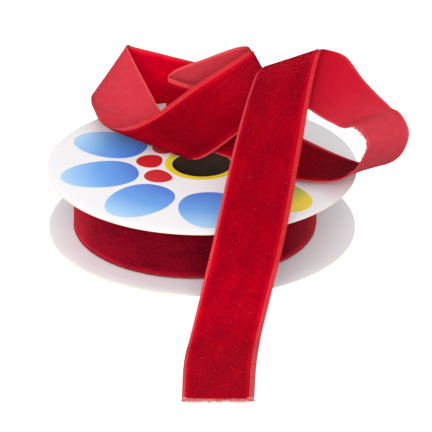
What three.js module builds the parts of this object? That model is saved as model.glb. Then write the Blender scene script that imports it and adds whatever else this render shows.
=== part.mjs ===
// A roll of velvet ribbon on a flat spool: two thin card flanges with a hub hole, a core tube between
// them, the wound pack of ribbon, and the loose end. The loose end leaves the pack at the back, comes
// over the top flange in a run of loops on its edge, and runs down the front onto the table.
// Millimetres, +Z up, the spool lying flat. The spool's axis is x = y = 0 and the table is z = 0 in all
// the sizes below; the finished group is then set on the bottom centre of its bounding box.
import * as THREE from 'three';

// Spool
const FLANGE_RADIUS = 54;
const CARD = 0.6; // card thickness
const SPOOL_HEIGHT = 23.3; // over both flanges
const HOLE_RADIUS = 10.5; // hub hole through both flanges and the core
const CORE_RADIUS = 12; // outside of the core tube
const CLEARANCE = 0.3; // between neighbouring pieces
const SEGMENTS = 96; // sides of a full circle

// Ribbon
const PACK_RADIUS = 42.7; // outside of the wound turns
const PACK_X = -2.6; // middle of the outside turn, which is wound off the spool's axis
const PACK_Y = -1.2;
const SHEET = 1.2; // ribbon thickness
const TAIL_STEPS = 4; // steps along the loose end between two rows of its table
const TAIL_CELLS = 4; // cells across its width

// Heights between the flanges that the core, the pack and the wound ribbon keep to
const WINDING_LOW = CARD + CLEARANCE;
const WINDING_HIGH = SPOOL_HEIGHT - CARD - CLEARANCE;

// Height of the sheet's middle where it lies on the table, and of its lower selvage where it stands
// on the top flange
const ON_TABLE = SHEET / 2;
const ON_FLANGE = SPOOL_HEIGHT + 1;

// The loose end, from its cut end on the table to the pack. Each row is a straight line across the
// ribbon, from its right selvage to its left one, seen from the cut end with the velvet side up.
const TAIL = [
  // name, right selvage x, y, z, left selvage x, y, z
  ['cut_end', 15.8, -121, ON_TABLE, -6.2, -121, ON_TABLE],
  ['table', 17.2, -97, ON_TABLE, -5.6, -97, ON_TABLE],
  ['lift_off', 19, -82, 1, -4, -84, 1],
  ['ramp', 22.8, -67.5, 9.5, -0.3, -69.5, 10.5],
  ['front_rim', 27.2, -55.5, 23, 3.8, -59, 24.5],
  ['slope', 32.9, -32, 43.5, 10.4, -30, 42.5],
  ['crest_front', 37.9, -11, 61.5, 16.5, -7.5, 55],
  ['crest', 40.3, -6, 68.2, 19, -3, 59.2],
  ['crest_back', 42.4, -2.5, 67.2, 21.5, -1, 59.6],
  ['fall', 48.5, -3, 65.2, 27.5, -6, 55.3],
  ['fall_low', 55, -7, 58, 36, -16, 51],
  ['sag', 62, -8.5, 51, 45, -23, 48.5],
  ['right_loop_top', 67.5, -11.5, 47.5, 52, -28.5, 50],
  ['right_loop', 70.2, -15.5, 42.5, 54.8, -32, 46.5],
  ['right_loop_low', 68, -13.5, 33, 54, -31, 41],
  ['right_loop_return', 62.5, -9, 27.2, 51, -26.5, 33],
  ['right_rim', 55, -5.5, 26.2, 44.5, -21.5, 26.8],
  ['landing', 36, 7.5, 29.3, 27.5, -13.5, ON_FLANGE],
  ['hub_right', 20, 16, 36, 10, 1.5, ON_FLANGE],
  ['hub_back', 7, 19.5, 42.5, 1, 9, ON_FLANGE],
  ['hub_left', -4.5, 20.5, 44.5, -5.5, 15.5, ON_FLANGE],
  ['turn_start', -9.5, 22, 45.5, -10.5, 20.5, ON_FLANGE],
  ['turn', -12, 24, 46, -12.5, 23.5, ON_FLANGE],
  ['turn_end', -9.5, 26.5, 47.5, -9, 26.5, 25.5],
  ['return', 1, 27.5, 51.5, 9, 28, 31.5],
  ['fold_start', 12.5, 26, 56.5, 25.5, 24, 35.5],
  ['fold', 16, 22.5, 58, 27.5, 19.5, 37.5],
  ['fold_end', 16, 18, 58.5, 26, 14, 39],
  ['front_fall', -2, 13.5, 47.5, 13, 6.5, 32],
  ['twist_start', -19, 10, 36, 2, 2, 25.5],
  ['twist', -28.5, 14, 30.5, -2, 1, ON_FLANGE],
  ['twist_end', -35, 21, 28.5, -4.5, 3, ON_FLANGE],
  ['left_rise', -39.5, 35, 29.5, -10.5, 16, 28],
  ['left_loop_start', -40.5, 46, 28, -26, 50, 43.5],
  ['left_loop', -40.5, 50, 27, -27.5, 54, 45.5],
  ['left_loop_end', -38.5, 54, 24, -25, 57.5, 43.5],
  ['behind_left', -15.5, 56.5, 18.5, -14, 59, 40],
  ['behind', 8, 58, 10.2, 12.5, 60, 31.6],
  ['behind_right', 22, 58.5, 3.3, 24, 60, 25],
  ['back_loop', 31, 54, WINDING_LOW, 31, 54, WINDING_HIGH],
  ['back_loop_end', 24, 47.5, WINDING_LOW, 24, 47.5, WINDING_HIGH],
  ['winding_on', 8, 42.6, WINDING_LOW, 8, 42.6, WINDING_HIGH],
  ['wound', -6, 42.7, WINDING_LOW, -6, 42.7, WINDING_HIGH],
];

function paint(color, roughness) {
  return new THREE.MeshStandardMaterial({ color, roughness, metalness: 0 });
}

// A ring about the spool's axis, of rectangular section
function ring(name, inner, outer, low, high, material) {
  const section = [
    new THREE.Vector2(inner, low),
    new THREE.Vector2(outer, low),
    new THREE.Vector2(outer, high),
    new THREE.Vector2(inner, high),
    new THREE.Vector2(inner, low),
  ];
  const geometry = new THREE.LatheGeometry(section, SEGMENTS);
  geometry.rotateX(Math.PI / 2);
  const mesh = new THREE.Mesh(geometry, material);
  mesh.name = name;
  return mesh;
}

// The wound turns as one solid: a round hole for the core, in a round disc that stands off the axis
function woundPack(name, material) {
  const outline = new THREE.Shape();
  outline.absarc(PACK_X, PACK_Y, PACK_RADIUS, 0, 2 * Math.PI);
  const hole = new THREE.Path();
  hole.absarc(0, 0, CORE_RADIUS + CLEARANCE, 0, 2 * Math.PI, true);
  outline.holes.push(hole);
  const depth = WINDING_HIGH - WINDING_LOW;
  const geometry = new THREE.ExtrudeGeometry(outline, { depth, bevelEnabled: false, curveSegments: SEGMENTS });
  geometry.translate(0, 0, WINDING_LOW);
  const mesh = new THREE.Mesh(geometry, material);
  mesh.name = name;
  return mesh;
}

// The middle surface of the loose end as rows of points: one curve through the right selvage's places
// and one through the left's, joined by straight lines
function tailRows() {
  const right = TAIL.map(([, x, y, z]) => new THREE.Vector3(x, y, z));
  const left = TAIL.map(([, , , , x, y, z]) => new THREE.Vector3(x, y, z));
  const rightCurve = new THREE.CatmullRomCurve3(right, false, 'centripetal');
  const leftCurve = new THREE.CatmullRomCurve3(left, false, 'centripetal');
  const count = (TAIL.length - 1) * TAIL_STEPS;
  const rows = [];
  for (let i = 0; i <= count; i++) {
    const start = rightCurve.getPoint(i / count);
    const end = leftCurve.getPoint(i / count);
    const row = [];
    for (let j = 0; j <= TAIL_CELLS; j++) {
      const point = start.clone().lerp(end, j / TAIL_CELLS);
      point.z = Math.max(point.z, ON_TABLE);
      row.push(point);
    }
    rows.push(row);
  }
  return rows;
}

// The sheet's normal at a point, on the velvet side: along the ribbon, crossed with across it
function sheetNormal(rows, i, j) {
  const last = rows.length - 1;
  const along = rows[Math.min(i + 1, last)][j].clone().sub(rows[Math.max(i - 1, 0)][j]);
  const across = rows[i][TAIL_CELLS].clone().sub(rows[i][0]);
  return along.cross(across).normalize();
}

// The loose end as one closed sheet: the velvet face, the plain face, and a wall all round
function tail(name, material) {
  const rows = tailRows();
  const width = TAIL_CELLS + 1;
  const faceSize = rows.length * width;
  const positions = [];
  for (const side of [SHEET / 2, -SHEET / 2]) {
    rows.forEach((row, i) => row.forEach((point, j) => {
      const place = point.clone().addScaledVector(sheetNormal(rows, i, j), side);
      positions.push(place.x, place.y, place.z);
    }));
  }
  const velvet = (i, j) => i * width + j;
  const plain = (i, j) => faceSize + i * width + j;
  const index = [];
  const quad = (a, b, c, d) => index.push(a, b, c, a, c, d);
  const last = rows.length - 1;
  for (let i = 0; i < last; i++) {
    for (let j = 0; j < TAIL_CELLS; j++) {
      quad(velvet(i, j), velvet(i + 1, j), velvet(i + 1, j + 1), velvet(i, j + 1));
      quad(plain(i, j), plain(i, j + 1), plain(i + 1, j + 1), plain(i + 1, j));
    }
    quad(velvet(i, 0), plain(i, 0), plain(i + 1, 0), velvet(i + 1, 0));
    quad(velvet(i, TAIL_CELLS), velvet(i + 1, TAIL_CELLS), plain(i + 1, TAIL_CELLS), plain(i, TAIL_CELLS));
  }
  for (let j = 0; j < TAIL_CELLS; j++) {
    quad(velvet(0, j), velvet(0, j + 1), plain(0, j + 1), plain(0, j));
    quad(velvet(last, j), plain(last, j), plain(last, j + 1), velvet(last, j + 1));
  }
  const geometry = new THREE.BufferGeometry();
  geometry.setAttribute('position', new THREE.Float32BufferAttribute(positions, 3));
  geometry.setIndex(index);
  geometry.computeVertexNormals();
  const mesh = new THREE.Mesh(geometry, material);
  mesh.name = name;
  return mesh;
}

const card = () => paint(0xe6e2e8, 0.6);
const spool = new THREE.Group();
spool.add(
  ring('flange_bottom', HOLE_RADIUS, FLANGE_RADIUS, 0, CARD, card()),
  ring('flange_top', HOLE_RADIUS, FLANGE_RADIUS, SPOOL_HEIGHT - CARD, SPOOL_HEIGHT, card()),
  ring('core', HOLE_RADIUS, CORE_RADIUS, WINDING_LOW, WINDING_HIGH, paint(0x4a3424, 0.9)),
  woundPack('ribbon_roll', paint(0x8c0a20, 0.95)),
  tail('ribbon_tail', paint(0xc4102a, 0.95)),
);

// The origin is the bottom centre of the whole object's box
const box = new THREE.Box3().setFromObject(spool);
const centre = box.getCenter(new THREE.Vector3());
spool.position.set(-centre.x, -centre.y, -box.min.z);

const object = new THREE.Group();
object.add(spool);
object.updateMatrixWorld(true);

export default object;
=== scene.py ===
"""A roll of red velvet ribbon on a printed card spool, its loose end looped over the top flange and
running down the front onto the table. Sizes are in millimetres in the spool's own place, with its axis
at x = y = 0 and the table at z = 0, until a piece's points are placed in the frame in metres. The floor,
the lights' own sizes and the depths of bumps are in metres."""
import math

import bpy
import numpy as np
from mathutils import Euler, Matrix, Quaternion, Vector


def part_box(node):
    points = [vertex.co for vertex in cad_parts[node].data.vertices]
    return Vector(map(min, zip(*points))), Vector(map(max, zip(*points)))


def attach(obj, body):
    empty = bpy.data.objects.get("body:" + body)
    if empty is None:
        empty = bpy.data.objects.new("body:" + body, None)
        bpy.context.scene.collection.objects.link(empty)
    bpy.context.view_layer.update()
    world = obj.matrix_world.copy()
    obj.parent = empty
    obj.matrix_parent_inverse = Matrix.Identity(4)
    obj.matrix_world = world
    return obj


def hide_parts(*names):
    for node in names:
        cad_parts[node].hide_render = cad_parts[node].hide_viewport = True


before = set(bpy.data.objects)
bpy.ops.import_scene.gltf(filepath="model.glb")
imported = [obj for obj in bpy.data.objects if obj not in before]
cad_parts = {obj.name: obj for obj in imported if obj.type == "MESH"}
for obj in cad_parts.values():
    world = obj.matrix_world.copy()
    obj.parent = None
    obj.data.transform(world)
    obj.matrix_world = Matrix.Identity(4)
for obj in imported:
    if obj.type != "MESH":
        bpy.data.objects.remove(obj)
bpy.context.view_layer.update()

# Camera: a long lens a little under 0.8 m from the spool, 25 degrees above the table, with the spool
# high and left of the middle of the picture.
MM = 0.001
low_corner, high_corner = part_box("flange_top")
AXIS_X = (low_corner[0] + high_corner[0]) / 2
AXIS_Y = (low_corner[1] + high_corner[1]) / 2
SPOOL_TOP = high_corner[2] / MM
VIEW_DISTANCE = 790.0
VIEW_ELEVATION = math.radians(25.28)
AIM_DOWN = math.radians(1.33)
AIM_RIGHT = math.radians(0.35)
SENSOR_WIDTH = 36
FOCAL_LENGTH = 188.5
NEAREST_SEEN = 0.05


def placed(points):
    """Millimetres in the spool's place turned into metres in the frame."""
    return np.asarray(points, float) * MM + np.array([AXIS_X, AXIS_Y, 0.0])


lens = bpy.data.cameras.new("camera")
lens.sensor_width = SENSOR_WIDTH
lens.lens = FOCAL_LENGTH
lens.clip_start = NEAREST_SEEN
camera = bpy.data.objects.new("camera", lens)
bpy.context.scene.collection.objects.link(camera)
bpy.context.scene.camera = camera
camera.location = placed([
    0,
    -VIEW_DISTANCE * math.cos(VIEW_ELEVATION),
    SPOOL_TOP + VIEW_DISTANCE * math.sin(VIEW_ELEVATION),
])
camera.rotation_mode = "QUATERNION"
camera.rotation_quaternion = (
    Euler((math.pi / 2 - VIEW_ELEVATION, 0, 0)).to_quaternion()
    @ Quaternion((1, 0, 0), -AIM_DOWN)
    @ Quaternion((0, 1, 0), -AIM_RIGHT)
)


# Floor and light: a white sweep in a white tent, with three broad soft lights, the strongest from the
# front. The camera sees the sweep as pure white, and every other ray sees it as a grey card.
def node(tree, kind, inputs=None, **settings):
    """A node of this kind. Each input is a value, or a socket that is linked to it."""
    made = tree.nodes.new(kind)
    for name, value in settings.items():
        setattr(made, name, value)
    for key, value in (inputs or {}).items():
        if isinstance(value, bpy.types.NodeSocket):
            tree.links.new(value, made.inputs[key])
        else:
            made.inputs[key].default_value = value
    return made


def new_material(name, values):
    """A material, its tree and its Principled shader, whose sockets are set to these values."""
    made = bpy.data.materials.new(name)
    made.use_nodes = True
    tree = made.node_tree
    shader = tree.nodes["Principled BSDF"]
    for socket, value in values.items():
        shader.inputs[socket].default_value = value
    return made, tree, shader


bpy.context.scene.view_settings.view_transform = "Standard"
FLOOR_HALF = 3.0
FLOOR_LEVEL = -0.0002
corners = [(-1, -1), (1, -1), (1, 1), (-1, 1)]
places = [(FLOOR_HALF * x, FLOOR_HALF * y, FLOOR_LEVEL) for x, y in corners]
floor_mesh = bpy.data.meshes.new("floor")
floor_mesh.from_pydata(places, [], [(0, 1, 2, 3)])
floor = bpy.data.objects.new("floor", floor_mesh)
bpy.context.scene.collection.objects.link(floor)
white_floor, tree, shader = new_material("white floor", {
    "Base Color": (0.5, 0.49, 0.49, 1), "Roughness": 1.0, "Specular IOR Level": 0.0,
})
seen = node(tree, "ShaderNodeLightPath").outputs["Is Camera Ray"]
sweep = node(tree, "ShaderNodeEmission", {"Color": (1, 1, 1, 1), "Strength": 1.0})
behind = node(tree, "ShaderNodeAddShader", {0: shader.outputs[0], 1: sweep.outputs[0]})
shown = node(tree, "ShaderNodeMixShader", {0: seen, 1: shader.outputs[0], 2: behind.outputs[0]})
tree.links.new(shown.outputs[0], tree.nodes["Material Output"].inputs["Surface"])
floor_mesh.materials.append(white_floor)

tent = bpy.data.worlds.new("white tent")
tent.use_nodes = True
tree = tent.node_tree
seen = node(tree, "ShaderNodeLightPath").outputs["Is Camera Ray"]
AMBIENT = 0.71
strength = node(tree, "ShaderNodeMapRange", {"Value": seen, "To Min": AMBIENT, "To Max": 1.0}).outputs[0]
tree.links.new(strength, tree.nodes["Background"].inputs["Strength"])
tree.nodes["Background"].inputs["Color"].default_value = (1, 0.99, 0.98, 1)
bpy.context.scene.world = tent


def soft_light(name, place, watts, size):
    """A square area light that faces the spool; place is in millimetres."""
    data = bpy.data.lights.new(name, "AREA")
    data.energy = watts
    data.size = size
    made = bpy.data.objects.new(name, data)
    bpy.context.scene.collection.objects.link(made)
    made.location = placed(place)
    middle_of_spool = [0, 0, 20]
    aim = Vector(placed(middle_of_spool)) - made.location
    made.rotation_euler = aim.to_track_quat("-Z", "Y").to_euler()


soft_light("left light", (-950, -250, 520), watts=1.9, size=0.8)
soft_light("front light", (-60, -1000, 450), watts=9.6, size=0.7)
soft_light("back light", (350, 800, 700), watts=0.8, size=0.6)


# Flanges: two discs of coated white board, die cut, with a soft burr round the rim and a cream core
# that shows at the cut. The upper one is printed on top with two rings of petals.
FLANGE_RADIUS = 54.0
HOLE_RADIUS = 10.5
CARD = 0.6
RIM_ROUND = 0.16
UV_STEP = 0.1


def skin(name, rings, lengths, girths, slots, ring_slots, loop=False):
    """A closed mesh through rings[i, j], point j of ring i, in millimetres. Each ring closes on itself.
    Ring follows ring along the piece: a loop joins the last to the first, else both ends are capped.
    lengths[i] and girths[j] (one more than the points of a ring) are the UV map, on the ribbon in
    centimetres. ring_slots[j] is the material slot of the strip between points j and j + 1."""
    count, around = rings.shape[:2]
    steps = count if loop else count - 1
    i, j = np.meshgrid(np.arange(steps), np.arange(around), indexing="ij")
    i, j = i.ravel(), j.ravel()
    after, beside = (i + 1) % count, (j + 1) % around
    near, far = i * around, after * around
    faces = np.stack([near + j, near + beside, far + beside, far + j], 1).tolist()
    slot_of = np.asarray(ring_slots)[j].tolist()
    u = np.stack([lengths[i], lengths[i], lengths[i + 1], lengths[i + 1]], 1)
    v = np.stack([girths[j], girths[j + 1], girths[j + 1], girths[j]], 1)
    uv = np.stack([u.ravel(), v.ravel()], 1)
    if not loop:
        start = np.arange(around)[::-1]
        end = np.arange(around)
        faces += [start.tolist(), (steps * around + end).tolist()]
        slot_of += [int(ring_slots[0])] * 2
        caps = [np.stack([np.full(around, at), girths[order]], 1)
                for at, order in ((lengths[0], start), (lengths[steps], end))]
        uv = np.concatenate([uv, *caps])
    mesh = bpy.data.meshes.new(name)
    mesh.from_pydata(placed(rings.reshape(-1, 3)).tolist(), [], faces)
    for material in slots:
        mesh.materials.append(material)
    mesh.polygons.foreach_set("material_index", slot_of)
    mesh.polygons.foreach_set("use_smooth", [True] * len(faces))
    layer = mesh.uv_layers.new(name="cloth")
    layer.data.foreach_set("uv", uv.ravel())
    made = bpy.data.objects.new(name, mesh)
    bpy.context.scene.collection.objects.link(made)
    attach(made, "root")
    return made


def turned(radii, heights, segments):
    """Rings of a profile turned about the spool's axis: (r cos a, r sin a, z), a running clockwise
    from above so that a profile that runs outwards along the bottom and up has its faces out."""
    angle = -2 * np.pi * np.arange(segments) / segments
    across = np.stack([np.cos(angle), np.sin(angle)], 1)
    flat = across[:, None, :] * np.asarray(radii, float)[None, :, None]
    up = np.broadcast_to(np.asarray(heights, float), (segments, len(heights)))
    return np.concatenate([flat, up[..., None]], 2)


def node_group(name, inputs, outputs):
    """A shader node group. inputs gives each socket's type and value, outputs each socket's type."""
    tree = bpy.data.node_groups.new(name, "ShaderNodeTree")
    for label, (kind, value) in inputs.items():
        tree.interface.new_socket(label, in_out="INPUT", socket_type=kind).default_value = value
    for label, kind in outputs.items():
        tree.interface.new_socket(label, in_out="OUTPUT", socket_type=kind)
    return tree, tree.nodes.new("NodeGroupInput").outputs, tree.nodes.new("NodeGroupOutput").inputs


def calc(tree, operation, *values, **settings):
    """The result of a Math node on these values or sockets."""
    made = node(tree, "ShaderNodeMath", dict(enumerate(values)), operation=operation, **settings)
    return made.outputs[0]


def blend(tree, factor, first, second):
    """A colour mixed from first to second by factor."""
    return node(tree, "ShaderNodeMix", {0: factor, 6: first, 7: second}, data_type="RGBA").outputs[2]


def noise(tree, vector, scale, detail=2.0, roughness=0.5):
    """Noise over these coordinates, from 0 to 1."""
    values = {"Vector": vector, "Scale": scale, "Detail": detail, "Roughness": roughness}
    return node(tree, "ShaderNodeTexNoise", values).outputs["Fac"]


def spread(tree, value, low, high):
    """Value taken from the range low to high onto 0 to 1, and kept there."""
    return node(tree, "ShaderNodeMapRange", {"Value": value, "From Min": low, "From Max": high}).outputs[0]


def scaled(tree, vector, factor):
    """A colour or a vector times a factor."""
    return node(tree, "ShaderNodeVectorMath", {0: vector, "Scale": factor}, operation="SCALE").outputs[0]


def on_spool(tree):
    """Object coordinates in millimetres from the spool's axis."""
    place = node(tree, "ShaderNodeTexCoord").outputs["Object"]
    shift = node(tree, "ShaderNodeVectorMath", {0: place, 1: (-AXIS_X, -AXIS_Y, 0)}, operation="ADD")
    return scaled(tree, shift.outputs[0], 1 / MM)


def bump(tree, height, distance):
    """The normal of a bump of this height, its distance in metres."""
    return node(tree, "ShaderNodeBump", {"Height": height, "Distance": distance}).outputs["Normal"]


def paper_grain():
    """Board: a cloudy tone and short fibres. Puts out a tone near 1 and a height."""
    tree, given, put = node_group(
        "paper grain",
        {"Place": ("NodeSocketVector", (0, 0, 0)), "Cloud": ("NodeSocketFloat", 0.03)},
        {"Tone": "NodeSocketFloat", "Height": "NodeSocketFloat"},
    )
    fibre_share = 0.5
    mean = 0.5 + fibre_share * 0.5
    cloud = noise(tree, given["Place"], scale=0.09, detail=3.0)
    fibre = noise(tree, given["Place"], scale=2.4, detail=4.0, roughness=0.65)
    both = calc(tree, "ADD", cloud, calc(tree, "MULTIPLY", fibre, fibre_share))
    swing = calc(tree, "SUBTRACT", both, mean)
    tree.links.new(calc(tree, "MULTIPLY_ADD", swing, given["Cloud"], 1.0), put["Tone"])
    tree.links.new(fibre, put["Height"])
    return tree


PAPER_GRAIN = paper_grain()


def grained(tree, shader, colour, cloud, depth):
    """Gives a board's shader its colour, varied by the paper grain, and the grain's bump."""
    place = on_spool(tree)
    grain = node(tree, "ShaderNodeGroup", node_tree=PAPER_GRAIN)
    tree.links.new(place, grain.inputs["Place"])
    grain.inputs["Cloud"].default_value = cloud
    tree.links.new(scaled(tree, colour, grain.outputs["Tone"]), shader.inputs["Base Color"])
    tree.links.new(bump(tree, grain.outputs["Height"], depth), shader.inputs["Normal"])
    return place


def board(name, colour, roughness, cloud, depth):
    """Plain board of one colour."""
    made, tree, shader = new_material(name, {"Roughness": roughness})
    grained(tree, shader, colour, cloud, depth)
    return made


def petals(tree, place, count, turn, middle, half_length, half_width):
    """A ring of oval petals round the axis. A petal is where (r - middle)^2 / half_length^2 plus the
    distance across it squared over half_width^2 is under 1. Gives its mask, 0 to 1, the petal's place
    in the ring, 0 to 1, the place along the petal, -1 to 1, and the radius."""
    soft_edge = 0.02
    x, y, _ = node(tree, "ShaderNodeSeparateXYZ", {0: place}).outputs
    squares = calc(tree, "ADD", calc(tree, "POWER", x, 2.0), calc(tree, "POWER", y, 2.0))
    radius = calc(tree, "SQRT", squares)
    angle = calc(tree, "ARCTAN2", y, x)
    sector = calc(tree, "MULTIPLY_ADD", angle, count / (2 * math.pi), count / 2 + turn)
    index = calc(tree, "FLOOR", sector)
    aside = calc(tree, "SUBTRACT", calc(tree, "SUBTRACT", sector, index), 0.5)
    across = calc(tree, "MULTIPLY", calc(tree, "MULTIPLY", aside, radius), 2 * math.pi / count / half_width)
    along = calc(tree, "MULTIPLY", calc(tree, "SUBTRACT", radius, middle), 1 / half_length)
    reach = calc(tree, "ADD", calc(tree, "POWER", across, 2.0), calc(tree, "POWER", along, 2.0))
    mask = spread(tree, reach, 1 + soft_edge, 1 - soft_edge)
    return mask, calc(tree, "DIVIDE", index, float(count)), along, radius


def ramp(tree, factor, stops):
    """A colour ramp through (position, colour) stops."""
    made = node(tree, "ShaderNodeValToRGB", {0: factor})
    elements = made.color_ramp.elements
    while len(elements) < len(stops):
        elements.new(0.5)
    for element, (position, colour) in zip(elements, stops):
        element.position = position
        element.color = (*colour, 1)
    return made.outputs[0]


SKY = (0.42, 0.68, 0.93)
MID_BLUE = (0.12, 0.36, 0.82)
ROYAL = (0.055, 0.19, 0.68)
RED_INK = (0.62, 0.012, 0.018)
YELLOW_INK = (0.88, 0.68, 0.01)
LEAF_INK = (0.2, 0.42, 0.03)
GREEN_INK = (0.035, 0.2, 0.03)
WHITE_CARD = (0.87, 0.86, 0.885)
CREAM_BOARD = (0.8, 0.74, 0.62)
PETAL_COUNT = 9
YELLOW_LINE_RADIUS = 13.0


def printed_board():
    """The upper flange's face: two rings of petals in inks on white, and a yellow line at the hole.
    A petal's place in its ring runs from 0 at the left through a quarter at the front."""
    right, near_right, clear_of_right = 0.45, 0.15, 0.3
    bare_from, bare_to = 0.5, 0.85
    dot_swing = 0.16
    made, tree, shader = new_material("printed card", {"Roughness": 0.42, "Specular IOR Level": 0.4})
    place = grained(tree, shader, WHITE_CARD, cloud=0.03, depth=0.000006)
    white = shader.inputs["Base Color"].links[0].from_socket
    outer, order, along, radius = petals(tree, place, PETAL_COUNT, turn=0.15, middle=36.5,
                                         half_length=13.6, half_width=10.6)
    blue = ramp(tree, spread(tree, along, -1.0, 1.0), [(0, ROYAL), (0.5, MID_BLUE), (1, SKY)])
    leaf = ramp(tree, spread(tree, along, -1.0, 0.6), [(0, GREEN_INK), (0.6, LEAF_INK), (1, YELLOW_INK)])
    from_right = calc(tree, "ABSOLUTE", calc(tree, "SUBTRACT", order, right))
    ink = blend(tree, calc(tree, "LESS_THAN", from_right, near_right), blue, leaf)
    bare = calc(tree, "MULTIPLY", calc(tree, "GREATER_THAN", order, bare_from),
                calc(tree, "LESS_THAN", order, bare_to))
    colour = blend(tree, calc(tree, "SUBTRACT", outer, bare, use_clamp=True), white, ink)
    inner, order, _, _ = petals(tree, place, PETAL_COUNT, turn=0.65, middle=18.6,
                                half_length=4.6, half_width=5.4)
    from_right = calc(tree, "ABSOLUTE", calc(tree, "SUBTRACT", order, right))
    at_left = calc(tree, "GREATER_THAN", from_right, clear_of_right)
    colour = blend(tree, calc(tree, "MULTIPLY", inner, at_left), colour, (*RED_INK, 1))
    yellow = spread(tree, radius, YELLOW_LINE_RADIUS + 0.1, YELLOW_LINE_RADIUS - 0.1)
    colour = blend(tree, yellow, colour, (*YELLOW_INK, 1))
    dots = calc(tree, "MULTIPLY_ADD", noise(tree, place, scale=5.0), dot_swing, 1 - dot_swing / 2)
    tree.links.new(scaled(tree, colour, dots), shader.inputs["Base Color"])
    return made


card_face = board("white card", WHITE_CARD, roughness=0.55, cloud=0.05, depth=0.00001)
card_cut = board("cut card", CREAM_BOARD, roughness=0.9, cloud=0.2, depth=0.00004)
print_face = printed_board()


def flange(name, low, slots):
    """A disc with a hole, turned from a flat section with rounded corners: along the bottom, up the
    rim, back along the top and down the wall of the hole."""
    underside, upper_side, cut = 0, 1, 2
    segments, corner_points, face_points = 288, 4, 12
    turn = np.linspace(0, np.pi / 2, corner_points)
    inset, rise = RIM_ROUND * (1 - np.sin(turn)), RIM_ROUND * (1 - np.cos(turn))
    bottom = np.linspace(HOLE_RADIUS + RIM_ROUND, FLANGE_RADIUS - RIM_ROUND, face_points)
    radii = np.concatenate([
        bottom[:-1], FLANGE_RADIUS - inset, FLANGE_RADIUS - inset[::-1],
        bottom[::-1][1:-1], HOLE_RADIUS + inset, HOLE_RADIUS + inset[::-1],
    ])
    heights = np.concatenate([
        0 * bottom[:-1], rise, CARD - rise[::-1],
        CARD + 0 * bottom[1:-1], CARD - rise, rise[::-1],
    ])
    strips = face_points - 1
    edge = 2 * corner_points - 1
    wall = len(radii) - 2 * strips - edge
    ring_slots = [underside] * strips + [cut] * edge + [upper_side] * strips + [cut] * wall
    rings = turned(radii, low + heights, segments)
    lengths = np.arange(segments + 1) * UV_STEP
    girths = np.arange(len(radii) + 1) * UV_STEP
    return skin(name, rings, lengths, girths, slots, ring_slots, loop=True)


lower_flange = flange("card_flange_low", 0.0, [card_face, card_face, card_cut])
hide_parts("flange_bottom")
upper_flange = flange("card_flange_top", SPOOL_TOP - CARD, [card_face, print_face, card_cut])
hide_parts("flange_top")


# Core: a tube of brown board glued up from a spiral strip. It joins the two flanges round the hub hole,
# and the ribbon is wound on it.
# Painted shade: the board's brown is far darker than plain board, for the shade inside the hub hole.
SHADED_BROWN_BOARD = (0.05, 0.026, 0.014)
CORE_RADIUS = 12.0
CLEARANCE = 0.3
WINDING_LOW = CARD + CLEARANCE
WINDING_HIGH = SPOOL_TOP - CARD - CLEARANCE


def core_tube():
    """A turned tube whose inner wall steps by the strip's thickness along a helix: r grows by it where
    the phase, z over the strip's climb in a turn less a / 2 pi, is just under a whole number."""
    strip_climb, strip_thickness = 12.0, 0.12
    joint_from, joint_width = 0.94, 0.04
    rows, segments = 40, 180
    climb = np.linspace(WINDING_LOW, WINDING_HIGH, rows)
    wall_inside = HOLE_RADIUS + 0.1
    radii = np.repeat([CORE_RADIUS, wall_inside], rows)
    heights = np.concatenate([climb, climb[::-1]])
    rings = turned(radii, heights, segments)
    angle = np.arange(segments) / segments
    phase = (rings[..., 2] / strip_climb + angle[:, None]) % 1.0
    step = strip_thickness * np.clip((phase - joint_from) / joint_width, 0, 1)
    rings[..., :2] *= np.where(radii < CORE_RADIUS, 1 + step / HOLE_RADIUS, 1)[..., None]
    brown = board("brown core board", SHADED_BROWN_BOARD, roughness=0.9, cloud=0.6, depth=0.00005)
    lengths = np.arange(segments + 1) * UV_STEP
    girths = np.arange(len(radii) + 1) * UV_STEP
    return skin("core_tube", rings, lengths, girths, [brown], [0] * len(radii), loop=True)


core = core_tube()
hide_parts("core")


# Wound pack: about 26 turns of rayon velvet on the core, woven with a deep red pile between paler ribbed
# selvages. The end faces show each turn's edge as a ridge of a spiral, and the outer turn shows its
# pile. The UV map, as on the loose end, runs along the ribbon and across it, in centimetres.
CM = 10.0
RIBBON_WIDTH = 22.0
SELVAGE_WIDE = 1.7
SELVAGE_NARROW = 0.9
RIB_PITCH = 0.72
PACK_RADIUS = 42.7
PACK_OFFSET = np.array([-2.6, -1.2])
PACK_CIRCUMFERENCE = 2 * np.pi * PACK_RADIUS
TURNS = 26
WOUND_SELVAGE_WIDTH = 1.1
WOUND_SELVAGE_INSET = 0.62
PILE_SHEEN = (1.0, 0.07, 0.09)
THREAD_SHEEN = (1.0, 0.3, 0.35)
LINT_PINK = (0.35, 0.075, 0.12)


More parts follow.
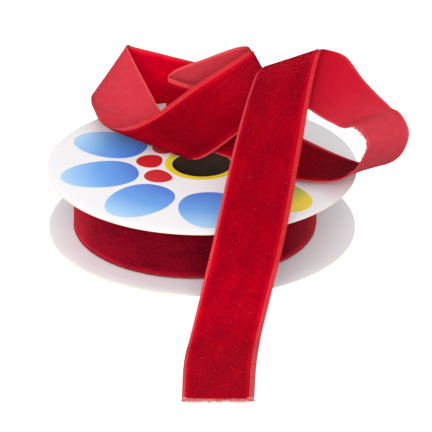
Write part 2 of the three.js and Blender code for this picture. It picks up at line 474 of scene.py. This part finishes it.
def velvet_nap():
    """Pile: broad streaks where the pile lies another way, and a fine mottle of tuft ends. The streaks
    are drawn out along the ribbon. Puts out a shade, the lint caught on it, and a height."""
    drawn_out = (0.55, 1.0, 1.0)
    patch_share, tuft_share, patch_height = 0.5, 0.9, 0.8
    tree, given, put = node_group(
        "velvet nap",
        {"Cloth": ("NodeSocketVector", (0, 0, 0)), "Streaks": ("NodeSocketFloat", 0.6),
         "Worn": ("NodeSocketFloat", 0.0)},
        {"Shade": "NodeSocketFloat", "Lint": "NodeSocketFloat", "Height": "NodeSocketFloat"},
    )
    cloth = given["Cloth"]
    drawn = node(tree, "ShaderNodeMapping", {"Vector": cloth, "Scale": drawn_out}).outputs[0]
    broad = noise(tree, drawn, scale=1.3, detail=3.0, roughness=0.6)
    patch = noise(tree, cloth, scale=6.5, detail=4.0, roughness=0.65)
    tufts = noise(tree, cloth, scale=34.0, detail=3.0, roughness=0.75)
    dust = noise(tree, cloth, scale=15.0, detail=4.0, roughness=0.7)
    mixed = calc(tree, "MULTIPLY_ADD", patch, patch_share, calc(tree, "MULTIPLY", broad, given["Streaks"]))
    fine = calc(tree, "MULTIPLY_ADD", tufts, tuft_share, -tuft_share / 2)
    tree.links.new(calc(tree, "ADD", mixed, fine), put["Shade"])
    tree.links.new(calc(tree, "MULTIPLY", spread(tree, dust, 0.50, 0.72), given["Worn"]), put["Lint"])
    tree.links.new(calc(tree, "MULTIPLY_ADD", patch, patch_height, tufts), put["Height"])
    return tree


VELVET_NAP = velvet_nap()


def carried(tree, name):
    """An attribute that follows the ribbon, one of three: painted light and shade on the pile, brighter where
    it faces the light and darker where it lies in shade; worn, how far it is bent open and has caught lint;
    or pale, how far its threads are painted paler, a painted sheen where they face the light."""
    return node(tree, "ShaderNodeAttribute", attribute_name=name).outputs["Fac"]


def velvet(name, lit, shaded, sheen, streaks):
    """Velvet pile of two reds, with painted light and shade: painted brighter where it faces the light and
    darker where it lies in shade along the ribbon, with a painted highlight along the shoulders of the pile
    band, darker and dusted with lint where it is bent open, and with a red sheen."""
    shoulder_from, shoulder_to, shoulder_highlight = 0.13, 0.03, 0.75
    worn_shade, lint_cover, pile_depth = 0.38, 0.6, 0.00016
    made, tree, shader = new_material(name, {
        "Roughness": 1.0, "Specular IOR Level": 0.02,
        "Sheen Weight": sheen, "Sheen Roughness": 0.28, "Sheen Tint": (*PILE_SHEEN, 1),
    })
    cloth = node(tree, "ShaderNodeUVMap", uv_map="cloth").outputs[0]
    worn = carried(tree, "worn")
    given = {"Cloth": cloth, "Streaks": streaks, "Worn": worn}
    nap_and_painted_light = node(tree, "ShaderNodeGroup", given, node_tree=VELVET_NAP).outputs
    pile = blend(tree, spread(tree, nap_and_painted_light["Shade"], 0.36, 0.80), (*shaded, 1), (*lit, 1))
    across = node(tree, "ShaderNodeSeparateXYZ", {0: cloth}).outputs[1]
    right = calc(tree, "SUBTRACT", across, SELVAGE_WIDE / CM)
    left = calc(tree, "SUBTRACT", (RIBBON_WIDTH - SELVAGE_NARROW) / CM, across)
    # Painted highlight: the pile is painted up to 1.75 times as bright along the shoulders of the pile band.
    shoulder = spread(tree, calc(tree, "MINIMUM", right, left), shoulder_from, shoulder_to)
    highlight = calc(tree, "MULTIPLY_ADD", shoulder, shoulder_highlight, 1.0)
    # Painted light and shade: an attribute along the ribbon paints the pile brighter where it faces the light
    # and darker where it lies in shade.
    level = calc(tree, "MULTIPLY", carried(tree, "nap_and_painted_light"), highlight)
    level = calc(tree, "MULTIPLY", level, calc(tree, "MULTIPLY_ADD", worn, -worn_shade, 1.0))
    lint = calc(tree, "MULTIPLY", nap_and_painted_light["Lint"], lint_cover)
    dusted = blend(tree, lint, scaled(tree, pile, level), (*LINT_PINK, 1))
    tree.links.new(dusted, shader.inputs["Base Color"])
    tree.links.new(bump(tree, nap_and_painted_light["Height"], pile_depth), shader.inputs["Normal"])
    return made


def ribbed(name, colour, dark, painted_sheen, pitch, lean, contrast, depth, gloss, seam=0.0):
    """Selvage or back: threads across the ribbon at this pitch in millimetres, turned by lean, their
    hollows darker by the contrast, a painted shade between the threads, going over to a paler colour where
    the ribbon is pale, a painted sheen where it faces the light. A wave texture of scale s has a pitch of
    pi / s. The seam is how much darker the first half millimetre of the girth is, beside the pile."""
    seam_from, seam_to = 0.065, 0.03
    cross_pitch, cross_tone, cross_height = 1.4, 0.15, 0.4
    cloud_tone = 0.6
    made, tree, shader = new_material(name, {
        "Roughness": 0.62, "Specular IOR Level": gloss,
        "Sheen Weight": 0.06, "Sheen Tint": (*THREAD_SHEEN, 1),
    })
    cloth = node(tree, "ShaderNodeUVMap", uv_map="cloth").outputs[0]
    leaning = node(tree, "ShaderNodeMapping", {"Vector": cloth, "Rotation": (0, 0, lean)}).outputs[0]
    given = {"Vector": leaning, "Scale": math.pi / pitch,
             "Distortion": 0.5, "Detail": 1.0, "Detail Scale": 2.0}
    threads = node(tree, "ShaderNodeTexWave", given, bands_direction="X").outputs["Fac"]
    given = {"Vector": cloth, "Scale": math.pi / pitch / cross_pitch, "Distortion": 0.8, "Detail": 1.0}
    crossing = node(tree, "ShaderNodeTexWave", given, bands_direction="Y").outputs["Fac"]
    cloud = noise(tree, cloth, scale=3.0, detail=4.0)
    ground = calc(tree, "MULTIPLY_ADD", cloud, cloud_tone, calc(tree, "MULTIPLY", crossing, cross_tone))
    mix = calc(tree, "MULTIPLY_ADD", threads, contrast, ground)
    # Painted shade: the hollows between the threads are painted darker by the contrast.
    new = blend(tree, spread(tree, mix, 0.1, 0.95), (*dark, 1), (*colour, 1))
    # Painted sheen: where the ribbon is pale, its threads are painted over to the paler sheen colour.
    sheened = blend(tree, spread(tree, mix, 0.0, 1.0), (*colour, 1), (*painted_sheen, 1))
    cover = blend(tree, carried(tree, "pale"), new, sheened)
    girth = node(tree, "ShaderNodeSeparateXYZ", {0: cloth}).outputs[1]
    level = calc(tree, "MULTIPLY_ADD", spread(tree, girth, seam_from, seam_to), -seam, 1.0)
    tree.links.new(scaled(tree, cover, level), shader.inputs["Base Color"])
    height = calc(tree, "MULTIPLY_ADD", crossing, cross_height, threads)
    tree.links.new(bump(tree, height, depth), shader.inputs["Normal"])
    return made


# Painted shade: the wound velvet and its selvage are much darker copies of the loose end's velvet and
# selvage, for the pack in shade between the flanges.
wound_red = velvet("wound velvet", lit=(0.235, 0.001, 0.010), shaded=(0.075, 0.0, 0.006),
                   sheen=0.85, streaks=0.8)
wound_edge = ribbed("wound selvage", (0.42, 0.012, 0.026), dark=(0.07, 0.0, 0.003), painted_sheen=(0.74, 0.13, 0.15),
                    pitch=RIB_PITCH, lean=0.0, contrast=1.0, depth=0.0003, gloss=0.05)


def carry(piece, values, shape):
    """Puts attributes on a piece's points: each value is one number, or one for each ring."""
    for name, value in values.items():
        spots = np.broadcast_to(np.reshape(value, (-1, 1)), shape).astype(np.float32)
        piece.data.attributes.new(name, "FLOAT", "POINT").data.foreach_set("value", spots.ravel())


def wound_pack():
    """A turned solid. Its end faces are grooved along a spiral: the phase is r less the spiral's
    advance, p a / 2 pi for a turn of pitch p, counted in turns, and z moves in by the groove's depth
    where the phase is near a half. The outer wall sways by two waves round the pack."""
    groove_depth, groove_width = 0.55, 0.16
    segments, points_per_turn, band_points = 320, 5, 16
    innermost, outermost = CORE_RADIUS + 0.35, PACK_RADIUS - 0.9
    pitch = (PACK_RADIUS - CORE_RADIUS - CLEARANCE) / TURNS
    across = np.linspace(innermost, outermost, TURNS * points_per_turn)
    edge_rise = np.array([0.0, 0.25, 0.8, 1.2, 1.35])
    edge_inset = np.array([0.75, 0.6, 0.55, 0.45, 0.1])
    band = np.linspace(WINDING_LOW + 1.9, WINDING_HIGH - 1.4, band_points)
    wall_radii = PACK_RADIUS - np.concatenate([edge_inset, 0 * band, edge_inset[::-1]])
    wall_heights = np.concatenate([WINDING_LOW + edge_rise, band, WINDING_HIGH - edge_rise[::-1]])
    ends, wall = len(across), len(wall_radii)
    radii = np.concatenate([across, wall_radii, across[::-1]])
    heights = np.concatenate([0 * across + WINDING_LOW, wall_heights, 0 * across + WINDING_HIGH])
    rings = turned(radii, heights, segments)
    angle = np.arange(segments)[:, None] / segments
    phase = ((radii - CORE_RADIUS) / pitch + angle) % 1.0
    groove = groove_depth * np.exp(-((phase - 0.5) / groove_width) ** 2)
    inward = np.repeat([1, 0, -1], [ends, wall, ends])
    rings[..., 2] += groove * inward
    sway = 0.12 * np.sin(2 * np.pi * (3 * angle + 0.2)) + 0.07 * np.sin(2 * np.pi * 7 * angle + heights / 5)
    rings[..., :2] *= np.where(inward == 0, 1 + sway / PACK_RADIUS, 1)[..., None]
    off_axis = np.clip((radii - innermost) / (outermost - innermost), 0, 1)
    rings[..., :2] += PACK_OFFSET * off_axis[:, None]
    pile, turn_edges = 0, 1
    ring_slots = [turn_edges] * ends + [pile] * wall + [turn_edges] * ends
    lengths = np.linspace(0, PACK_CIRCUMFERENCE / CM, segments + 1)
    girths = np.append(heights - WINDING_LOW, 0) / CM
    girths[:ends], girths[-ends:] = across / CM, across[0] / CM
    made = skin("wound_pack", rings, lengths, girths, [wound_red, wound_edge], ring_slots, loop=True)
    # Painted highlight and shade: the pile is painted at 0.85 of its colour round most of the pack and up to
    # 1.6 towards its left, a painted highlight where the left light grazes it.
    bearing = -2 * np.pi * angle
    at_left = np.clip(-np.cos(bearing - 0.3), 0, 1) ** 4
    carry(made, {"nap_and_painted_light": 0.85 + 0.75 * at_left, "worn": 0.2, "pale": 0.1}, rings.shape[:2])
    return made


def wound_selvage(name, middle):
    """A ring of oval section round the pack, its radius rising and falling once for each weft thread."""
    half_thick, rib_height = 0.42, 0.25
    section_points, steps_per_rib = 8, 4
    segments = int(PACK_CIRCUMFERENCE / RIB_PITCH) * steps_per_rib
    around = 2 * np.pi * np.arange(section_points) / section_points
    radii = PACK_RADIUS - WOUND_SELVAGE_INSET + half_thick * np.cos(around)
    heights = middle + WOUND_SELVAGE_WIDTH / 2 * np.sin(around)
    rings = turned(radii, heights, segments)
    rib = rib_height * np.cos(2 * np.pi * np.arange(segments) / steps_per_rib)
    swell = rib[:, None] * np.clip(np.cos(around), 0.2, 1)
    rings[..., :2] *= (1 + swell / PACK_RADIUS)[..., None]
    rings[..., :2] += PACK_OFFSET
    lengths = np.linspace(0, PACK_CIRCUMFERENCE / CM, segments + 1)
    girths = np.arange(section_points + 1) * 0.05
    made = skin(name, rings, lengths, girths, [wound_edge], [0] * section_points, loop=True)
    carry(made, {"pale": 0.1}, rings.shape[:2])
    return made


pack = wound_pack()
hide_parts("ribbon_roll")
for name, middle in (("wound_selvage_low", WINDING_LOW + WOUND_SELVAGE_INSET),
                     ("wound_selvage_top", WINDING_HIGH - WOUND_SELVAGE_INSET)):
    wound_selvage(name, middle)


# Loose end: one length of the same ribbon from the cut end on the table, over the crest and round the
# loops on the top flange, then down behind the spool and onto the pack. Each row of the table is a
# straight line across it, from the right selvage to the left one seen from the cut end.
BACK_LEVEL = -0.25
GROUND_LEVEL = 0.1
PILE_LEVEL = 0.65
PILE_RIGHT = SELVAGE_WIDE / RIBBON_WIDTH
PILE_LEFT = 1 - SELVAGE_NARROW / RIBBON_WIDTH
ON_TABLE = -BACK_LEVEL
ON_FLANGE = SPOOL_TOP + 1
# In each row the third number from the end is painted light and shade on the pile, higher where it is painted
# lit and lower where it is painted in shade; the last one paints the back and selvages paler, a painted sheen
# where they face the light.
LOOSE_END = [
    # right selvage x, y, z, left selvage x, y, z, painted light on the pile, worn, pale (painted sheen)
    [15.8, -121, ON_TABLE, -6.2, -121, ON_TABLE, 1.35, 0.3, 1],
    [17.2, -97, ON_TABLE, -5.6, -97, ON_TABLE, 1.4, 0.2, 0.85],
    [19, -82, 1, -4, -84, 1, 1.3, 0.1, 0.45],
    [22.8, -67.5, 9.5, -0.3, -69.5, 10.5, 1.25, 0, 0.25],
    [27.2, -55.5, 23, 3.8, -59, 24.5, 1, 0, 0.1],
    [32.9, -32, 43.5, 10.4, -30, 42.5, 1.05, 0, 0.1],
    [37.9, -11, 61.5, 16.5, -7.5, 55, 1, 0.2, 0.1],
    [40.3, -6, 68.2, 19, -3, 59.2, 1.5, 0.8, 0.1],
    [42.4, -2.5, 67.2, 21.5, -1, 59.6, 1.7, 1, 0],
    [48.5, -3, 65.2, 27.5, -6, 55.3, 1, 0.5, 0],
    [55, -7, 58, 36, -16, 51, 1, 0, 0.1],
    [62, -8.5, 51, 45, -23, 48.5, 1, 0, 0.45],
    [67.5, -11.5, 47.5, 52, -28.5, 50, 1, 0, 0.8],
    [70.2, -15.5, 42.5, 54.8, -32, 46.5, 1, 0, 1],
    [68, -13.5, 33, 54, -31, 41, 1, 0, 0.9],
    [62.5, -9, 27.2, 51, -26.5, 33, 0.8, 0.8, 0.9],
    [55, -5.5, 26.2, 44.5, -21.5, 26.8, 0.7, 0.6, 0.4],
    [36, 7.5, 29.3, 27.5, -13.5, ON_FLANGE, 0.72, 0.1, 0.2],
    [20, 16, 36, 10, 1.5, ON_FLANGE, 1, 0, 0.3],
    [7, 19.5, 42.5, 1, 9, ON_FLANGE, 1, 0, 0.6],
    [-4.5, 20.5, 44.5, -5.5, 15.5, ON_FLANGE, 1, 0, 0.5],
    [-9.5, 22, 45.5, -10.5, 20.5, ON_FLANGE, 1, 0, 0.6],
    [-12, 24, 46, -12.5, 23.5, ON_FLANGE, 1.1, 0.1, 0.8],
    [-9.5, 26.5, 47.5, -9, 26.5, 25.5, 1.4, 0.1, 0.9],
    [1, 27.5, 51.5, 9, 28, 31.5, 1.3, 0, 0.9],
    [12.5, 26, 56.5, 25.5, 24, 35.5, 1.3, 0.4, 0.8],
    [16, 22.5, 58, 27.5, 19.5, 37.5, 1.5, 0.8, 0.4],
    [16, 18, 58.5, 26, 14, 39, 1.6, 0.5, 0.2],
    [-2, 13.5, 47.5, 13, 6.5, 32, 1.05, 0, 0.12],
    [-19, 10, 36, 2, 2, 25.5, 0.7, 0.1, 0.12],
    [-28.5, 14, 30.5, -2, 1, ON_FLANGE, 0.95, 0.1, 0.6],
    [-35, 21, 28.5, -4.5, 3, ON_FLANGE, 1, 0.2, 0.5],
    [-39.5, 35, 29.5, -10.5, 16, 28, 1.2, 0.1, 0.75],
    [-40.5, 46, 28, -26, 50, 43.5, 1.6, 0, 0.75],
    [-40.5, 50, 27, -27.5, 54, 45.5, 2, 0.2, 0.7],
    [-38.5, 54, 24, -25, 57.5, 43.5, 2.3, 0.2, 0.7],
    [-15.5, 56.5, 18.5, -14, 59, 40, 2.3, 0, 0.3],
    [8, 58, 10.2, 12.5, 60, 31.6, 1.5, 0, 0.3],
    [22, 58.5, 3.3, 24, 60, 25, 1, 0, 0.3],
    [31, 54, WINDING_LOW, 31, 54, WINDING_HIGH, 1, 0, 0.2],
    [24, 47.5, WINDING_LOW, 24, 47.5, WINDING_HIGH, 1, 0, 0.2],
    [8, 42.6, WINDING_LOW, 8, 42.6, WINDING_HIGH, 0.8, 0, 0.1],
    [-6, 42.7, WINDING_LOW, -6, 42.7, WINDING_HIGH, 0.6, 0, 0.1],
]
RIGHT_EDGE, LEFT_EDGE, CLOTH_STATE = np.split(np.array(LOOSE_END, float), [3, 6], axis=1)
CURVE_STEPS = 4000
MERGE_LENGTH = 26.0
MERGE_DEPTH = 1.6
CREASE_ROW = 11.35
CREASE_DEPTH = 0.7
CREASE_WIDTH = 2.0
SWAY = 0.1
BACK_PITCH = 0.42
BACK_LEAN = math.radians(52)

pile_red = velvet("loose velvet", lit=(0.40, 0.0, 0.007), shaded=(0.19, 0.0, 0.007),
                  sheen=0.09, streaks=0.6)
selvage_red = ribbed("selvage", (0.74, 0.018, 0.030), dark=(0.22, 0.0, 0.005), painted_sheen=(0.86, 0.11, 0.12),
                     pitch=RIB_PITCH, lean=0.0, contrast=0.9, depth=0.00025, gloss=0.05, seam=0.5)
back_red = ribbed("plain back", (0.50, 0.004, 0.022), dark=(0.38, 0.002, 0.013), painted_sheen=(0.68, 0.068, 0.09),
                  pitch=BACK_PITCH, lean=BACK_LEAN, contrast=0.45, depth=0.00006, gloss=0.04)


def edge_curve(points, where):
    """A centripetal Catmull-Rom curve through the points, at places counted in points. Each stretch is
    a cubic from its start to its end, with slopes taken over the gaps beside it, where a gap counts as
    the square root of its length."""
    points = np.vstack([2 * points[0] - points[1], points, 2 * points[-1] - points[-2]])
    index = np.clip(np.floor(where).astype(int), 0, len(points) - 4)
    part = (where - index)[..., None]
    before, start, end, after = (points[index + k] for k in range(4))
    gap_before, gap, gap_after = (np.sqrt(np.linalg.norm(b - a, axis=-1))[..., None]
                                  for a, b in ((before, start), (start, end), (end, after)))
    slope = (end - start) / gap
    leave = ((start - before) / gap_before - (end - before) / (gap_before + gap) + slope) * gap
    arrive = (slope - (after - start) / (gap + gap_after) + (after - end) / gap_after) * gap
    cubic = 2 * start - 2 * end + leave + arrive
    square = -3 * start + 3 * end - 2 * leave - arrive
    return start + leave * part + square * part ** 2 + cubic * part ** 3


ROW_STEPS = np.linspace(0, len(LOOSE_END) - 1, CURVE_STEPS)
MIDDLE_LINE = (edge_curve(RIGHT_EDGE, ROW_STEPS) + edge_curve(LEFT_EDGE, ROW_STEPS)) / 2
DISTANCES = np.concatenate([[0], np.cumsum(np.linalg.norm(np.diff(MIDDLE_LINE, axis=0), axis=1))])
LOOSE_LENGTH = DISTANCES[-1]


def middle_surface(along, across):
    """Points of the sheet's middle: along in millimetres from the cut end, across from 0 at the right
    selvage to 1 at the left. The last stretch sinks into the pack, so that it leaves it smoothly."""
    where = np.interp(along, DISTANCES, ROW_STEPS)
    right, left = edge_curve(RIGHT_EDGE, where), edge_curve(LEFT_EDGE, where)
    points = right + (left - right) * across[..., None]
    points[..., 2] = np.maximum(points[..., 2], ON_TABLE)
    sink = np.clip((along - (LOOSE_LENGTH - MERGE_LENGTH)) / MERGE_LENGTH, 0, 1)
    sink = MERGE_DEPTH * sink ** 2 * (3 - 2 * sink)
    inward = PACK_OFFSET - points[..., :2]
    points[..., :2] += inward * (sink / np.hypot(inward[..., 0], inward[..., 1]))[..., None]
    return points


def relief(along, across):
    """How far the cloth stands off its straight rows: a soft crease across the sag before the right
    loop, and a slow sway that dies out where the ribbon lies on the table and on the pack."""
    on_table, on_pack, fade = 45, 60, 30
    crease_at = np.interp(CREASE_ROW, ROW_STEPS, DISTANCES)
    crease = CREASE_DEPTH * np.exp(-((along - crease_at - 2 * (0.5 - across)) / CREASE_WIDTH) ** 2)
    free = np.clip((along - on_table) / fade, 0, 1) * np.clip((LOOSE_LENGTH - on_pack - along) / fade, 0, 1)
    return crease + SWAY * free * np.sin(along / 4.3 + 2.2 * across) * np.sin(np.pi * np.clip(across, 0, 1))


def cloth_points(along, across, height):
    """Middle surface plus height and relief times its normal on the velvet side, in millimetres. The
    normal is the heading along the ribbon crossed with the way across it."""
    reach_along, reach_across = 0.35, 0.02
    along, across, height = np.broadcast_arrays(along, across, height)
    back = np.clip(along - reach_along, 0, LOOSE_LENGTH)
    forth = np.clip(along + reach_along, 0, LOOSE_LENGTH)
    heading = middle_surface(forth, across) - middle_surface(back, across)
    crossing = middle_surface(along, across + reach_across) - middle_surface(along, across - reach_across)
    normal = np.cross(heading, crossing)
    normal /= np.linalg.norm(normal, axis=-1, keepdims=True)
    return middle_surface(along, across) + normal * (height + relief(along, across))[..., None]


def state(along):
    """The ribbon's painted pile light, worn and pale painted sheen at these places, in millimetres from the
    cut end.
    """
    where = np.interp(along, DISTANCES, ROW_STEPS)
    rows = np.arange(len(LOOSE_END))
    return {name: np.interp(where, rows, column)
            for name, column in zip(("nap_and_painted_light", "worn", "pale"), CLOTH_STATE.T)}


def loose_cloth():
    """The ground cloth with its pile, a closed section swept along the loose end: the back, then up
    each side of the pile band with a rounded shoulder, and the pile's flat top. The cut end is ragged
    by two sines across it, which die out within a few millimetres."""
    pile, back, selvage = 0, 1, 2
    setback, ragged_length, row_count = 0.5, 3, 900
    shoulder = np.array([[0.0, 0.0], [0.0, 0.45], [0.012, 0.8], [0.035, 1.0]])
    rise = GROUND_LEVEL + (PILE_LEVEL - GROUND_LEVEL) * shoulder[:, 1]
    top = np.linspace(PILE_RIGHT + 0.07, PILE_LEFT - 0.07, 9)
    under = np.concatenate([[0.97, 0.964], np.linspace(0.94, 0.08, 10), [0.056, 0.05]])
    across = np.concatenate([under, PILE_RIGHT + shoulder[:, 0], top, PILE_LEFT - shoulder[::-1, 0]])
    height = np.concatenate([0 * under + BACK_LEVEL, rise, 0 * top + PILE_LEVEL, rise[::-1]])
    along = np.linspace(0, LOOSE_LENGTH - setback, row_count)
    ragged = 0.25 * np.sin(11 * np.pi * across + 1) + 0.15 * np.sin(29 * across)
    cut = ragged * np.clip(1 - along / ragged_length, 0, 1)[:, None]
    rings = cloth_points(along[:, None] + cut + setback, across, height)[:, ::-1]
    girths = np.append(across[::-1], across[-1]) * RIBBON_WIDTH / CM
    velvet_strips, back_strips = len(across) - len(under) - 1, len(under) - 1
    ring_slots = [pile] * velvet_strips + [selvage] + [back] * back_strips + [selvage]
    made = skin("loose_ribbon", rings, along / CM, girths, [pile_red, back_red, selvage_red], ring_slots)
    carry(made, state(along), rings.shape[:2])
    return made


def loose_selvage(name, start, end, least_pale):
    """A flat woven edge, across from start to end, thicker and wider at each weft thread. Its section
    is a flattened oval: the sine of the turn to a power under 1. It is nowhere less pale than given.
    The girth starts beside the pile on the right selvage, which is the one that shows its seam."""
    level, half_thick, flatness = -0.03, 0.2, 0.6
    rib_width, rib_height = 0.2, 0.05
    section_points, steps_per_rib = 12, 4
    around = 2 * np.pi * np.arange(section_points) / section_points
    middle, half = (start + end) / 2, (end - start) / 2
    along = np.arange(0, LOOSE_LENGTH, RIB_PITCH / steps_per_rib)
    rib = np.cos(2 * np.pi * along / RIB_PITCH)[:, None]
    outward = -1 if middle < 0.5 else 1
    at_edge = np.clip(outward * np.cos(around), 0, 1)
    across = middle + half * np.cos(around) + outward * rib_width / RIBBON_WIDTH * rib * at_edge
    swell = np.sign(np.sin(around)) * np.abs(np.sin(around)) ** flatness
    rings = cloth_points(along[:, None], across, level + (half_thick + rib_height * rib) * swell)
    past_seam = 0 if outward < 0 else 0.2
    girths = np.arange(section_points + 1) * 0.03 + past_seam
    made = skin(name, rings, along / CM, girths, [selvage_red], [0] * section_points)
    values = state(along)
    values["pale"] = np.maximum(values["pale"], least_pale)
    carry(made, values, rings.shape[:2])
    return made


loose = loose_cloth()
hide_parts("ribbon_tail")
right_selvage = loose_selvage("selvage_right", 0.0, PILE_RIGHT + 0.01, least_pale=0.0)
left_selvage = loose_selvage("selvage_left", PILE_LEFT - 0.01, 1.0, least_pale=0.5)


# Fringe: loose rayon fibres. Pile stands up along its shoulders, warp and weft fray from the cut end,
# broken picks stick out of the left selvage round the right loop, and lint lies on the velvet.
chance = np.random.default_rng(7)


def fibre(name, colour, dark, follows_painted_light=False):
    """Loose fibre of two tones, which may follow the painted light and shade of the pile that it stands on.
    """
    made, tree, shader = new_material(name, {"Roughness": 0.9, "Specular IOR Level": 0.1})
    patches = spread(tree, noise(tree, on_spool(tree), scale=1.7), 0.3, 0.7)
    tone = blend(tree, patches, (*dark, 1), (*colour, 1))
    if follows_painted_light:
        tone = scaled(tree, tone, carried(tree, "nap_and_painted_light"))
    tree.links.new(tone, shader.inputs["Base Color"])
    return made


pile_fibre = fibre("pile fibre", (0.5, 0.004, 0.012), dark=(0.24, 0.0, 0.006), follows_painted_light=True)
end_thread = fibre("end thread", (0.86, 0.38, 0.36), dark=(0.70, 0.10, 0.11))
loop_thread = fibre("loop thread", (0.70, 0.12, 0.14), dark=(0.48, 0.004, 0.02))
lint_grey = fibre("lint", (0.42, 0.17, 0.2), dark=(0.32, 0.05, 0.08))


def strands(name, paths, radius, material, values=None):
    """Closed three-sided fibres. Each path is a row of points, with a ring of three round each point
    that narrows towards the tip."""
    sides, tip = 3, 0.4
    count, steps = paths.shape[:2]
    heading = np.gradient(paths, axis=1)
    heading /= np.linalg.norm(heading, axis=2, keepdims=True)
    side = np.cross(heading, [0.36, 0.48, 0.8])
    side /= np.linalg.norm(side, axis=2, keepdims=True)
    up = np.cross(heading, side)
    turn = 2 * np.pi * np.arange(sides)[:, None] / sides
    reach = radius * np.linspace(1, tip, steps)[None, :, None, None]
    rings = paths[:, :, None] + reach * (side[:, :, None] * np.cos(turn) + up[:, :, None] * np.sin(turn))
    first = sides * steps * np.arange(count)
    last = first + sides * (steps - 1)
    grid = np.meshgrid(first, sides * np.arange(steps - 1), np.arange(sides), indexing="ij")
    i, j, k = (numbers.ravel() for numbers in grid)
    near, beside = i + j + k, i + j + (k + 1) % sides
    faces = np.stack([near, beside, beside + sides, near + sides], 1).tolist()
    faces += (first[:, None] + [0, 2, 1]).tolist() + (last[:, None] + [0, 1, 2]).tolist()
    mesh = bpy.data.meshes.new(name)
    mesh.from_pydata(placed(rings.reshape(-1, 3)).tolist(), [], faces)
    mesh.materials.append(material)
    made = bpy.data.objects.new(name, mesh)
    bpy.context.scene.collection.objects.link(made)
    carry(made, values or {}, (count, sides * steps))
    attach(made, "root")
    return made


def pile_tufts(count):
    """Fibres that stand up along both shoulders of the pile and here and there on it, so that its
    outline is soft: from just inside the pile out to their own length, leaning at random."""
    free_from, free_to = 1.0, LOOSE_LENGTH - 70
    rooted, spread_out = 0.12, 0.45
    along = chance.uniform(free_from, free_to, count)
    kind = chance.random(count)
    at_right, scattered = kind < 0.36, kind > 0.72
    anywhere = chance.uniform(PILE_RIGHT + 0.03, PILE_LEFT - 0.03, count)
    across = np.where(at_right, PILE_RIGHT + 0.012, PILE_LEFT - 0.012)
    across = np.where(scattered, anywhere, across)
    outward = np.where(at_right, -1.0, 1.0)
    outward = np.where(scattered, chance.uniform(-1, 1, count), outward)
    reach = chance.uniform(0.25, 0.55, count)
    lean = chance.normal(0, 0.25, (count, 2))
    part = np.linspace(0, 1, 3)
    out = (outward * spread_out + lean[:, 1])[:, None] * reach[:, None] * part ** 1.5
    paths = cloth_points(along[:, None] + lean[:, :1] * part, across[:, None] + out / RIBBON_WIDTH,
                         PILE_LEVEL - rooted + reach[:, None] * part)
    return strands("pile_tufts", paths, 0.045, pile_fibre, {"nap_and_painted_light": state(along)["nap_and_painted_light"]})


def cut_end_threads(count):
    """Ends of warp and weft that fray from the cut: they leave the cloth and droop to the table. The
    drift to the side grows with the square of the way out."""
    longer_share, longer = 0.12, 1.25
    table_gap = 0.1
    across = chance.uniform(0.0, 1.0, count)
    reach = chance.uniform(0.5, 2.5, count) * np.where(chance.random(count) < longer_share, longer, 1)
    drift = chance.normal(0, 0.4, count)
    part = np.linspace(0, 1, 6)
    start = cloth_points(np.full(count, 1.0), across, chance.uniform(-0.1, 0.6, count))
    paths = np.repeat(start[:, None], len(part), 1)
    paths[..., 0] += drift[:, None] * reach[:, None] * part ** 2
    paths[..., 1] -= reach[:, None] * part
    paths[..., 2] = np.maximum(paths[..., 2] * (1 - 0.5 * part), table_gap)
    return strands("cut_end_threads", paths, 0.06, end_thread)


def loop_threads(count):
    """Broken picks that stand out of the left selvage round the right loop, a few of them long and
    curled: a tight arc out from the selvage, turning back as it goes."""
    loop_start, loop_end, knot_row = 11.6, 15.6, 12.25
    long_count = 40
    start, end, knot = np.interp([loop_start, loop_end, knot_row], ROW_STEPS, DISTANCES)
    along = chance.uniform(start, end, count)
    long = np.arange(count) < long_count
    along = np.where(long, chance.normal(knot, 1.3, count), along)
    reach = np.where(long, chance.uniform(1.8, 4.0, count), chance.uniform(0.5, 1.3, count))
    curl = np.where(long, chance.uniform(-3, 3, count), chance.uniform(-0.8, 0.8, count))
    part = np.linspace(0, 1, 7)
    bend = curl[:, None] * part
    out = reach[:, None] * part * np.cos(bend)
    aside = reach[:, None] * part * np.sin(bend)
    height = chance.normal(0, 0.15, count)[:, None]
    paths = cloth_points(along[:, None] + aside, 0.995 + out / RIBBON_WIDTH, height)
    return strands("loop_threads", paths, 0.15, loop_thread)


def lint_flecks(count):
    """Short fibres of dust lying on the pile, each a slightly bent line."""
    seen_from, seen_to, bend = 2, 190, 0.9
    along = chance.uniform(seen_from, seen_to, count)
    across = chance.uniform(PILE_RIGHT + 0.04, PILE_LEFT - 0.04, count)
    bearing = chance.uniform(0, 2 * np.pi, count)
    reach = chance.uniform(0.15, 0.7, count)
    part = np.linspace(-0.5, 0.5, 4)
    way = bearing[:, None] + bend * part
    forth = reach[:, None] * part * np.cos(way)
    aside = reach[:, None] * part * np.sin(way)
    paths = cloth_points(along[:, None] + forth, across[:, None] + aside / RIBBON_WIDTH, PILE_LEVEL + 0.05)
    return strands("lint_flecks", paths, 0.05, lint_grey)


fringes = [pile_tufts(9000), cut_end_threads(900), loop_threads(190), lint_flecks(130)]
